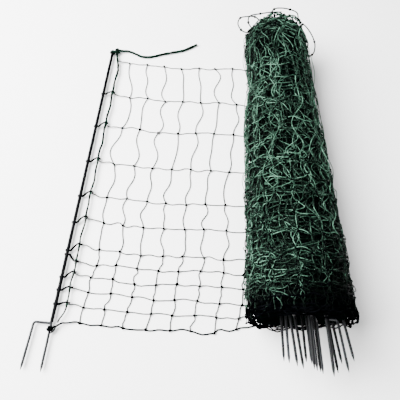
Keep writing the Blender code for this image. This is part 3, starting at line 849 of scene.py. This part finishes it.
FOOT_LOOPS = (
    [(0.135, -0.520, 0.070), (0.160, -0.546, 0.055), (0.170, -0.566, 0.045), (0.186, -0.570, 0.040),
     (0.195, -0.548, 0.042), (0.198, -0.505, 0.055), (0.182, -0.470, 0.080)],
    [(0.150, -0.500, 0.060), (0.176, -0.524, 0.050), (0.182, -0.546, 0.046), (0.168, -0.556, 0.048)],
    [(-0.125, -0.520, 0.060), (-0.128, -0.556, 0.040), (-0.104, -0.574, 0.030), (-0.070, -0.566, 0.024),
     (-0.050, -0.570, 0.020), (-0.010, -0.560, 0.015)],
    [(-0.112, -0.545, 0.030), (-0.084, -0.560, 0.022), (-0.055, -0.548, 0.020), (-0.043, -0.562, 0.018)],
)


def make_loops(name, routes, thick, material):
    """Loops along routes. Gives back where their knots sit."""
    lines = [(smooth_line(route, 8), thick, wound.uniform(0.4, 1.0), 0.0) for route in routes]
    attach(strands(name, lines, material, 7), "roll")
    return [place for route in routes for place in route[1:-1:2]]


loop_knots = make_loops("top_loops", TOP_LOOPS, LOOP_TWINE, PANEL_TWINE)
loop_knots += make_loops("foot_loops", FOOT_LOOPS, BOTTOM_TWINE, BLACK_TWINE)
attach(knots("loop_knots", loop_knots, LOOP_KNOT, 8, 5), "roll")

# %% [markdown]
# Below the tight turns the strands lie so close that no light gets through. That part is one dark, lumpy
# body with hollow ends, made ring by ring. It stands in for the CAD roll.

# %% Make the deep part of the roll
CORE_SHARE = 0.845
CORE_ENDS = (0.014, 0.026)  # in from the foot of the CAD roll, and out past its top
CORE_STEPS = (96, 90)  # points round each ring, and rings
CORE_TAPER = 0.05  # how much of its share the core loses at each end
DISH = ((0.90, 0.004), (0.74, 0.030), (0.52, 0.050), (0.26, 0.060))  # share of the rim, depth inwards


def make_core():
    around, along = CORE_STEPS
    angle = np.linspace(0, 2 * math.pi, around, endpoint=False)
    foot_y, top_y = roll_low.y + CORE_ENDS[0], roll_high.y + CORE_ENDS[1]
    rings = [(share, foot_y + depth) for share, depth in DISH[::-1]]
    rings += [(1.0, y) for y in np.linspace(foot_y, top_y, along)]
    rings += [(share, top_y - depth) for share, depth in DISH]
    places = []
    for share, y in rings:
        inset = CORE_TAPER * (math.exp(-(y - foot_y) / 0.02) + math.exp((y - top_y) / 0.03))
        rough = 0.018 * np.sin(angle * 17 + 60 * y) * np.sin(angle * 5 - 90 * y)
        places.append(on_roll(angle, share * (CORE_SHARE - inset + rough), np.full(around, y)))
    ends = [places[0].mean(0), places[-1].mean(0)]
    points = np.vstack([*places, ends])
    faces = []
    for step in range(len(rings) - 1):
        for i in range(around):
            j = (i + 1) % around
            a, b = step * around, (step + 1) * around
            faces.append((a + i, a + j, b + j, b + i))
    last = (len(rings) - 1) * around
    faces += [(len(points) - 2, (i + 1) % around, i) for i in range(around)]
    faces += [(len(points) - 1, last + i, last + (i + 1) % around) for i in range(around)]
    mesh = bpy.data.meshes.new("deep_net")
    mesh.from_pydata(points.tolist(), [], faces)
    shape = bmesh.new()
    shape.from_mesh(mesh)
    bmesh.ops.recalc_face_normals(shape, faces=shape.faces)
    shape.to_mesh(mesh)
    shape.free()
    mesh.polygons.foreach_set("use_smooth", [True] * len(mesh.polygons))
    mesh.materials.append(DEEP_NET)
    made = bpy.data.objects.new("deep_net", mesh)
    bpy.context.scene.collection.objects.link(made)
    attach(made, "roll")
    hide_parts("wound_net")
    say(made, len(rings), "rings")


make_core()

# %% [markdown]
# ## The flat panel
#
# Every row of the panel leaves the rope that runs beside the post. So the rope's line comes first, and a
# way to give a place beside it: so far towards the post, so far up, and so far off the ground.

# %% Find the rope's line
FOLD_X = next(j for j in frame["joints"] if j["name"] == "net_fold")["pos_m"][0]
rope_joint = next(j for j in frame["joints"] if j["name"] == "post_fold")
ROPE_FOOT = np.array(rope_joint["pos_m"])
ROPE_AXIS = np.array(rope_joint["axis"])
ROPE_TOP = (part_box("end_rope")[1].y - ROPE_FOOT[1]) / ROPE_AXIS[1]
POST_SIDE = np.array([-ROPE_AXIS[1], ROPE_AXIS[0], 0.0])
ROPE_DRAW = 0.0185  # how far the rope is drawn towards the post at both ends
ROPE_RUN = (0.055, 0.085)  # length over which it leaves the post, at the foot and at the top
ROPE_RADII = (0.0019, 0.0033)  # at the foot and at the top


def rope_line():
    """The rope's line: beside the post at both ends, and out at the clips between."""
    up = np.linspace(0.004, ROPE_TOP - 0.002, 150)
    free = np.clip(np.minimum(up / ROPE_RUN[0], (ROPE_TOP - up) / ROPE_RUN[1]), 0, 1)
    free = free * free * (3 - 2 * free)
    sway = 0.0016 * np.sin(up * 37) + 0.0012 * np.sin(up * 71 + 1)
    draw = ROPE_DRAW * (1 - free) - sway * free
    line = ROPE_FOOT + up[:, None] * ROPE_AXIS + draw[:, None] * POST_SIDE
    return line, np.interp(up, [0, ROPE_TOP], ROPE_RADII)


rope_path, rope_radius = rope_line()
print("rope", round(ROPE_TOP, 3), "m long, fold of the net at x", round(FOLD_X, 3))


def beside_rope(towards_post, up, lift=0.0):
    """A place given by its distance from the rope's line towards the post, and up the post."""
    return ROPE_FOOT + towards_post * POST_SIDE + up * ROPE_AXIS + np.array((0, 0, lift))


# %% [markdown]
# The panel's strands are one piece with the stretch that runs on under the roll, because the real net
# bends there. Each row runs over its knots on the panel and on to its first place on the roll.


# %% Lay the panel's strands
BEND = 0.035  # half of the stretch that bends
ROW_SWAYS = (0.06, 0.035)  # slack of a row's first stretch, from the rope, and of the others
UPRIGHT_SWAY = 0.055
ROW_STEPS = 6  # straight pieces between two knots
PANEL_STEP = 0.012  # length of one straight piece of an upright
PANEL_KNOT = 0.0050


def row_start(row):
    """Where a row leaves the rope. The bottom string leaves from the foot of the rope."""
    if row == ROWS - 1:
        return beside_rope(0.006, 0.003)[:2]
    start, _ = row_ends(row + 1)
    return rope_path[np.linalg.norm(rope_path[:, :2] - start, axis=1).argmin()][:2]


def panel_rows():
    """Each row's line, from the rope over all its knots to its first place on the roll."""
    green, black = [], []
    for row in range(ROWS):
        thick = PANEL_FULLNESS * (BOTTOM_TWINE if row == ROWS - 1 else TWINE)
        fall = wavy(row_start(row), CROSSINGS[row, 0], ROW_STEPS, ROW_SWAYS[0])
        drop = np.linspace(0, 1, ROW_STEPS + 1) ** 0.6
        fall[:, 2] = ROPE_FOOT[2] + (KNOT_LIFT - ROPE_FOOT[2]) * drop
        parts = [fall[:-1]]
        for start, end in zip(CROSSINGS[row], CROSSINGS[row, 1:]):
            parts.append(wavy(start, end, ROW_STEPS, ROW_SWAYS[1])[:-1])
        parts.append(np.array([[*CROSSINGS[row, -1], KNOT_LIFT], on_roll(*KNOTS_AT[:, 0, row])]))
        line = np.vstack(parts)
        (black if row == ROWS - 1 else green).append((line, thick, slack.uniform(0.2, 0.7), 0.0))
    return green, black


def panel_uprights():
    """Each upright's line, from the top string to the bottom string."""
    made = []
    for column in range(COLUMNS):
        parts = []
        for row in range(ROWS - 1):
            gap = ROW_HEIGHTS[row] - ROW_HEIGHTS[row + 1]
            count = max(4, round(gap / PANEL_STEP))
            parts.append(wavy(*CROSSINGS[row:row + 2, column], count, UPRIGHT_SWAY)[:-1])
        parts.append(np.array([[*CROSSINGS[-1, column], KNOT_LIFT]]))
        made.append((np.vstack(parts), PANEL_FULLNESS * UPRIGHT_TWINE, slack.uniform(0.1, 0.6), 0.0))
    return made


green_rows, black_rows = panel_rows()
panel_net = strands("panel_rows", green_rows, PANEL_TWINE, 8)
bottom_string = strands("panel_bottom_string", black_rows, BLACK_TWINE, 8)
upright_net = strands("panel_uprights", panel_uprights(), PANEL_TWINE, 8)
knot_places = [(*p, KNOT_LIFT + TWINE) for p in CROSSINGS.reshape(-1, 2)]
panel_knots = knots("panel_knots", knot_places, PANEL_KNOT, 10, 7)
for piece in (panel_net, bottom_string, upright_net, panel_knots):
    FOLD_X + BEND
    FOLD_X - BEND
    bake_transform(piece)
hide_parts(*[f"horizontal_strand_{row:02d}" for row in range(1, ROWS)])
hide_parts(f"horizontal_strand_{ROWS:02d}")
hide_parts(*[f"upright_strand_{column}" for column in range(1, COLUMNS)])

# %% [markdown]
# ## Rope and tail
#
# The rope along the post is a loose bundle of twisted twine, thick at the top. Each thread of the bundle
# is a line that winds round the rope's own line, so the bundle shows real twists.

# %% Twist the rope
ROPE_FULLNESS = 1.55  # the rope is loose, so it is fuller than the CAD rope
THREAD_REACH = 0.58  # where the threads lie, over the bundle's radius
THREAD_SHARE = 0.42  # a thread's radius over the bundle's
MIDDLE_SHARE = 0.62  # the same for the thread in the middle


def bundle(path, radius, threads, pitch, loose, seed):
    """Lines of threads twisted round a path, where radius is one value a point."""
    random = np.random.default_rng(seed)
    path = np.asarray(path)
    step = np.linalg.norm(np.diff(path, axis=0), axis=1)
    along = np.concatenate([[0], np.cumsum(step)])
    ahead = np.gradient(path, axis=0)
    ahead /= np.linalg.norm(ahead, axis=1)[:, None]
    side = np.cross(ahead, (0, 0, 1))
    side /= np.linalg.norm(side, axis=1)[:, None]
    up = np.cross(side, ahead)
    made = []
    for thread in range(threads):
        angle = 2 * math.pi * (thread / threads + along / pitch) + random.normal(0, 0.5)
        angle = angle + 0.7 * np.sin(along * random.uniform(25, 60) + random.uniform(0, 6))
        waver = loose * np.sin(along * random.uniform(30, 70) + random.uniform(0, 6))
        reach = radius * (THREAD_REACH + waver)
        line = path + reach[:, None] * (np.cos(angle)[:, None] * side + np.sin(angle)[:, None] * up)
        made.append((line, radius * THREAD_SHARE, random.uniform(0.0, 1.0), 0.0))
    made.append((path, radius * MIDDLE_SHARE, 0.2, 0.0))  # the threads inside, a dark middle
    return made


rope_threads = bundle(rope_path, rope_radius * ROPE_FULLNESS, threads=7, pitch=0.085, loose=0.12, seed=5)
rope = strands("rope", rope_threads, ROPE_TWINE, 6)
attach(rope, "net_panel")
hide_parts("end_rope")

# %% [markdown]
# Past the knot the rope runs on as a free tail with a bare end. It lies limp on the ground, so its route
# is a list of given places, and the same bundle of threads is twisted round it.

# %% Lay the tail
TAIL_DIAMETER = 0.009
TAIL_FULLNESS = 0.58  # the bundle's radius over the tail's diameter
knot_low, knot_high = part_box("top_knot")
knot = (knot_low + knot_high) / 2
start = Vector((knot_high.x + 0.0005, knot.y, knot.z))
TAIL_HEIGHT = TAIL_DIAMETER / 2 + 0.0014  # of its middle, with room for the outer threads
TAIL = [
    start,
    start + Vector((0.014, -0.002, -0.002)),
    (-0.628, 0.627, TAIL_HEIGHT + 0.001),
    (-0.599, 0.612, TAIL_HEIGHT),
    (-0.570, 0.598, TAIL_HEIGHT),
    (-0.535, 0.594, TAIL_HEIGHT),
    (-0.485, 0.608, TAIL_HEIGHT),
    (-0.436, 0.620, TAIL_HEIGHT),
    (-0.389, 0.631, TAIL_HEIGHT),
    (-0.352, 0.649, TAIL_HEIGHT),
    (-0.324, 0.667, TAIL_HEIGHT),
]
tail_path = smooth_line([tuple(p) for p in TAIL], 10)
tail_radius = np.full(len(tail_path), TAIL_DIAMETER * TAIL_FULLNESS)
tail_threads = bundle(tail_path, tail_radius, threads=9, pitch=0.13, loose=0.14, seed=9)
tail = strands("tail", tail_threads, ROPE_TWINE, 6)
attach(tail, "net_panel")
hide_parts("tie_tail")

# %% [markdown]
# ## Ground spikes
#
# A double spike is a straight steel rod and a bent one welded to its side. Both end in a point. Each
# rod's line is found from the CAD spike: its two tips, its top, and its crossbar. Along those lines the
# node tree makes rounder rods than the CAD ones. Most of the straight rods are nearly black.

# %% Make the spikes
ROD = 0.0042
CAD_ROD = 0.003
ROD_BEND = 0.009
POINT = 0.018
POINT_SHARE = 0.15  # radius of the tip over the rod's
CLEAR = 0.03  # past this distance from the straight rod, a corner belongs to the bent one
TOP_ZONE, FOOT_ZONE, TIP_ZONE = 0.002, 0.035, 0.001  # where the top, both feet and a tip are looked for
STATIONS = 40
ROD_SIDES = 16


def rod_line(places):
    """A rod along corner points, with its last stretch tapered to a point."""
    places = np.asarray(places)
    step = np.linalg.norm(np.diff(places, axis=0), axis=1)
    along = np.concatenate([[0], np.cumsum(step)])
    ticks = np.unique(np.concatenate([along, np.linspace(0, along[-1], STATIONS)]))
    line = np.column_stack([np.interp(ticks, along, places[:, i]) for i in range(3)])
    left = along[-1] - ticks
    return line, ROD * np.clip(POINT_SHARE + (1 - POINT_SHARE) * left / POINT, 0, 1)


def spike_lines(node, dark, bright):
    """The straight and the bent rod of one double spike."""
    corners = np.array([v.co for v in frame["nodes"][node].data.vertices])
    top = corners[corners[:, 1] > corners[:, 1].max() - TOP_ZONE].mean(0)
    low = corners[corners[:, 1] < corners[:, 1].min() + FOOT_ZONE]
    middle = (low[:, 0].min() + low[:, 0].max()) / 2
    tips = []
    for side in (low[low[:, 0] < middle], low[low[:, 0] > middle]):
        tips.append(side[side[:, 1] < side[:, 1].min() + TIP_ZONE].mean(0))

    def beside(tip):  # the straight rod has more corners beside its line than the bent one
        line = (top - tip) / np.linalg.norm(top - tip)
        off = (corners - tip) - ((corners - tip) @ line)[:, None] * line
        return (np.linalg.norm(off, axis=1) < 1.3 * ROD).sum()

    straight_tip, bent_tip = sorted(tips, key=beside, reverse=True)
    down = (straight_tip - top) / np.linalg.norm(straight_tip - top)
    beyond = (corners - top) - ((corners - top) @ down)[:, None] * down
    far = np.linalg.norm(beyond, axis=1)
    depth = (corners - top) @ down
    level = depth[far > CLEAR].min() + CAD_ROD  # of the crossbar's middle
    weld = top + level * down
    out = beyond[(far > CLEAR) & (depth < level + CAD_ROD)].mean(0)
    out /= np.linalg.norm(out)
    wide = far[depth < level + 1.4 * ROD_BEND].max() - CAD_ROD
    bend = [weld + out * (wide - ROD_BEND * (1 - math.sin(a))) + down * ROD_BEND * (1 - math.cos(a))
            for a in np.radians(np.arange(0, 91, 15))]
    lines = []
    for places, tone in (([top, straight_tip], dark), ([weld, *bend, bent_tip], bright)):
        line, thick = rod_line(places)
        lines.append((line, thick, tone, 0.0))
    return lines


ROLLED_SPIKES = sorted(node for node in frame["nodes"] if node.startswith("rolled_spike_"))
end_spike = strands("end_spike_rods", spike_lines("end_spike", 0.42, 0.48), SPIKE_STEEL, ROD_SIDES)
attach(end_spike, "end_post")
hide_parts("end_spike")
spike_tones = np.random.default_rng(4)
rolled_rods = []
for node in ROLLED_SPIKES:
    rolled_rods += spike_lines(node, spike_tones.uniform(0.0, 0.10), spike_tones.uniform(0.05, 0.80))
rolled_spikes = strands("rolled_spike_rods", rolled_rods, SPIKE_STEEL, ROD_SIDES)
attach(rolled_spikes, "roll")
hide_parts(*ROLLED_SPIKES)

# %% [markdown]
# ## Clips
#
# Each row of the net is held off the post by a moulded clip. Its peg goes through the post, its arm
# climbs to the rope, and a hook with a small head goes round the rope. Where the hook sits, the rope is
# whipped with a few turns of paler twine. The heights are read from the CAD clips.

# %% Make the clips and whippings
POST_TO_ROPE = 0.038  # between their middles, as in the CAD model
POST_RADIUS = 0.00625
CLIP_FULLNESS = 1.2
WHIP_RADIUS = 0.0009
WHIP_TURNS = 5.5
WHIP_LENGTH = 0.018


def clip_heights(node):
    """How far up the post a clip's peg and its hook are."""
    places = np.array([v.co for v in frame["nodes"][node].data.vertices]) - ROPE_FOOT
    near_post = places @ POST_SIDE > POST_TO_ROPE - 0.008
    near_rope = places @ POST_SIDE < 0.006
    return (places[near_post] @ ROPE_AXIS).mean(), (places[near_rope] @ ROPE_AXIS).mean()


CLIPS = sorted(node for node in frame["nodes"] if node.startswith("clip_"))
clip_lines, whip_lines = [], []
for node in CLIPS:
    peg, hook = clip_heights(node)
    face = POST_TO_ROPE + POST_RADIUS
    back = POST_TO_ROPE - POST_RADIUS
    stations = [  # towards the post, up, off the ground, radius: from the peg's head to the hook's
        (face + 0.0026, peg, 0.0, 0.0030),
        (face + 0.0014, peg, 0.0, 0.0042),
        (face + 0.0003, peg, 0.0, 0.0040),
        (face, peg, 0.0, 0.0024),
        (back - 0.002, peg, 0.0, 0.0034),
        (back - 0.006, peg + 0.08 * (hook - peg), 0.0, 0.0034),
        (0.016, peg + 0.62 * (hook - peg), 0.002, 0.0029),
        (0.0055, hook, 0.004, 0.0027),
        (0.0, hook, 0.0055, 0.0024),
        (-0.0055, hook, 0.002, 0.0024),
        (-0.0075, hook - 0.001, 0.0, 0.0036),
        (-0.0095, hook - 0.001, -0.001, 0.0030),
    ]
    line = np.array([beside_rope(*station[:3]) for station in stations])
    clip_lines.append((line, CLIP_FULLNESS * np.array([station[3] for station in stations]), 0.5, 0.0))
    size = np.interp(hook, [0, ROPE_TOP], [0.0034, 0.0056])
    turns = np.linspace(0, WHIP_TURNS * 2 * math.pi, 100)
    rise = hook + WHIP_LENGTH * (turns / turns[-1] - 0.5)
    whip = [beside_rope(size * math.cos(turn), up, size * math.sin(turn)) for turn, up in zip(turns, rise)]
    whip_lines.append((np.array(whip), WHIP_RADIUS, 0.8, 0.0))
clips = strands("clips", clip_lines, MOULDED_BLACK, 14)
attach(clips, "end_post")
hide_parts(*CLIPS)
whippings = strands("rope_whippings", whip_lines, PALE_TWINE, 6)
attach(whippings, "net_panel")

# %% [markdown]
# ## Ties and the top knot
#
# The bottom string is wound round the end spike and knotted. At the top the rope goes round the post
# and ends in a bulky knot, from which the tail comes. A drawn-tight knot hides how it was tied, so each
# one is a few uneven turns and a short link back to the rope.


# %% Tie the knots
TOP_KNOT_TURNS = ((0.0, 0.0032), (0.9, 0.0044), (-0.8, 0.0038), (0.4, 0.0016))  # lean and radius


def wraps(centre, axis, radius, turns, rise, thick, seed):
    """Turns of rope round a rod, none of them quite alike."""
    random = np.random.default_rng(seed)
    axis = np.asarray(axis) / np.linalg.norm(axis)
    side = np.cross(axis, (0, 0, 1))
    side /= np.linalg.norm(side)
    up = np.cross(side, axis)
    angle = np.linspace(0, 2 * math.pi * turns, int(24 * turns))
    reach = radius + thick * (1.0 + 0.5 * np.sin(angle * 0.37 + random.uniform(0, 6)) ** 2)
    climb = rise * (angle / angle[-1] - 0.5) + 0.5 * thick * np.sin(angle * 0.61 + random.uniform(0, 6))
    line = (np.asarray(centre) + climb[:, None] * axis + reach[:, None] * (
        np.cos(angle)[:, None] * side + np.sin(angle)[:, None] * up))
    return line, thick, 0.5, 0.0


def tie_bottom():
    """The bottom string's knot round the spike, a link back to the rope, a loop and a cut end."""
    height = -0.018
    middle = beside_rope(POST_TO_ROPE, height)
    leaning = ROPE_AXIS + 0.7 * POST_SIDE
    lines = [wraps(middle, ROPE_AXIS, ROD, turns=3.4, rise=0.013, thick=0.0024, seed=1),
             wraps(middle, leaning, ROD + 0.003, turns=1.6, rise=0.006, thick=0.0022, seed=2)]
    end = [(POST_TO_ROPE - 0.002, height + 0.002, 0.004), (POST_TO_ROPE - 0.010, height + 0.006, 0.003),
           (POST_TO_ROPE - 0.019, height + 0.011, 0.001), (0.011, -0.001, 0.0), (0.004, 0.003, 0.0)]
    path = smooth_line([beside_rope(*p) for p in end], 8)
    lines += bundle(path, np.linspace(0.0046, 0.0030, len(path)), threads=3, pitch=0.030, loose=0.1, seed=6)
    loop = [(POST_TO_ROPE + 0.002, height - 0.004, 0.004), (POST_TO_ROPE - 0.003, height - 0.014, 0.003),
            (POST_TO_ROPE - 0.013, height - 0.006, 0.001), (POST_TO_ROPE - 0.019, height + 0.008, 0.003)]
    lines.append((smooth_line([beside_rope(*p) for p in loop], 6), 0.0020, 0.5, 0.0))
    stub = [(POST_TO_ROPE + 0.002, height, 0.004), (POST_TO_ROPE + 0.012, height - 0.002, 0.002)]
    lines.append((np.array([beside_rope(*p) for p in stub]), 0.0021, 0.5, 0.0))
    tie = strands("bottom_string_tie", lines, BLACK_TWINE, 8)
    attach(tie, "end_post")
    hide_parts("bottom_tie")


def tie_top():
    """The rope's turns round the post, its links, and the bulky knot that the tail comes from."""
    height = ROPE_TOP - 0.006
    middle = beside_rope(POST_TO_ROPE, height)
    leaning = ROPE_AXIS + 0.25 * POST_SIDE
    lines = [wraps(middle, ROPE_AXIS, POST_RADIUS, turns=2.2, rise=0.010, thick=0.0024, seed=3),
             wraps(middle, leaning, POST_RADIUS + 0.001, turns=1.2, rise=0.004, thick=0.0022, seed=4)]
    for side in (-1, 1):
        link = [(POST_TO_ROPE - 0.003, height + 0.003 * side, 0.008), (POST_TO_ROPE - 0.012, height, 0.006),
                (0.018, height - 0.002 * side, 0.003), (0.004, height + 0.002, 0.0)]
        path = smooth_line([beside_rope(*p) for p in link], 6)
        lines += bundle(path, np.full(len(path), 0.0036), threads=3, pitch=0.03, loose=0.12, seed=20 + side)
    made = strands("top_rope_tie", lines, ROPE_TWINE, 8)
    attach(made, "end_post")
    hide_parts("top_tie")
    lines = []
    for number, (lean, radius) in enumerate(TOP_KNOT_TURNS):
        axis = ROPE_AXIS + lean * POST_SIDE + np.array((0, 0, 0.3 * lean))
        lines.append(wraps(knot, axis, radius, turns=1.7, rise=0.011, thick=0.0026, seed=10 + number))
    made = strands("top_rope_knot", lines, ROPE_TWINE, 8)
    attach(made, "net_panel")
    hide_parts("top_knot")


tie_bottom()
tie_top()

# %% [markdown]
# ## Finish on the posts
#
# The posts are plain rods, which already have their true shape in the CAD model. They only get a finish.

# %% Paint the posts
POSTS = [node for node in frame["nodes"] if node == "end_post" or node.startswith("rolled_post_")]
for node in POSTS:
    mesh = frame["nodes"][node].data
    mesh.materials.clear()
    mesh.materials.append(POST_PLASTIC)
print("posts painted", len(POSTS))

# %% [markdown]
# ## Floor and light
#
# A plain white floor and soft light: a large lamp at the upper left gives the shadows, a weak one fills
# them from the other side, and the sky does the rest.


# %% Floor and lights
FLOOR_SIZE = 30
FLOOR_DROP = -0.0005  # just under the net, so that no faces share a plane
LIGHT_AIM = Vector((0, 0, 0.1))
HORIZON, OVERHEAD = 0.05, 0.9  # between these heights the sky goes from its low strength to its high


def make_floor():
    bpy.ops.mesh.primitive_plane_add(size=FLOOR_SIZE, location=(0, 0, FLOOR_DROP))
    floor = bpy.context.active_object
    floor.name = "floor"
    white = Finish("floor_white", Roughness=0.9, Specular_IOR_Level=0.0, Base_Color=(0.92, 0.92, 0.92, 1))
    floor.data.materials.append(white.material)


def make_light(name, place, size, power):
    data = bpy.data.lights.new(name, "AREA")
    data.shape = "DISK"
    data.size = size
    data.energy = power
    light = bpy.data.objects.new(name, data)
    light.location = place
    light.rotation_euler = (LIGHT_AIM - Vector(place)).to_track_quat("-Z", "Y").to_euler()
    bpy.context.scene.collection.objects.link(light)


def make_sky(low, high):
    """A sky that is dark at the horizon and bright overhead, so that round steel shows its shape."""
    world = bpy.data.worlds.new("studio")
    world.use_nodes = True
    tree = world.node_tree
    background = tree.nodes["Background"]
    place = tree.nodes.new("ShaderNodeTexCoord")
    parts = tree.nodes.new("ShaderNodeSeparateXYZ")
    ramp = tree.nodes.new("ShaderNodeMapRange")
    for socket, value in (("From Min", HORIZON), ("From Max", OVERHEAD), ("To Min", low), ("To Max", high)):
        ramp.inputs[socket].default_value = value
    tree.links.new(place.outputs["Generated"], parts.inputs[0])
    tree.links.new(parts.outputs["Z"], ramp.inputs["Value"])
    tree.links.new(ramp.outputs[0], background.inputs["Strength"])
    bpy.context.scene.world = world


make_floor()
make_light("key", place=(-2.8, 0.5, 3.0), size=4.0, power=1500)
make_light("fill", place=(0.4, -2.4, 2.8), size=2.4, power=110)
make_sky(low=0.5, high=2.2)
print("lights", len(bpy.data.lights))
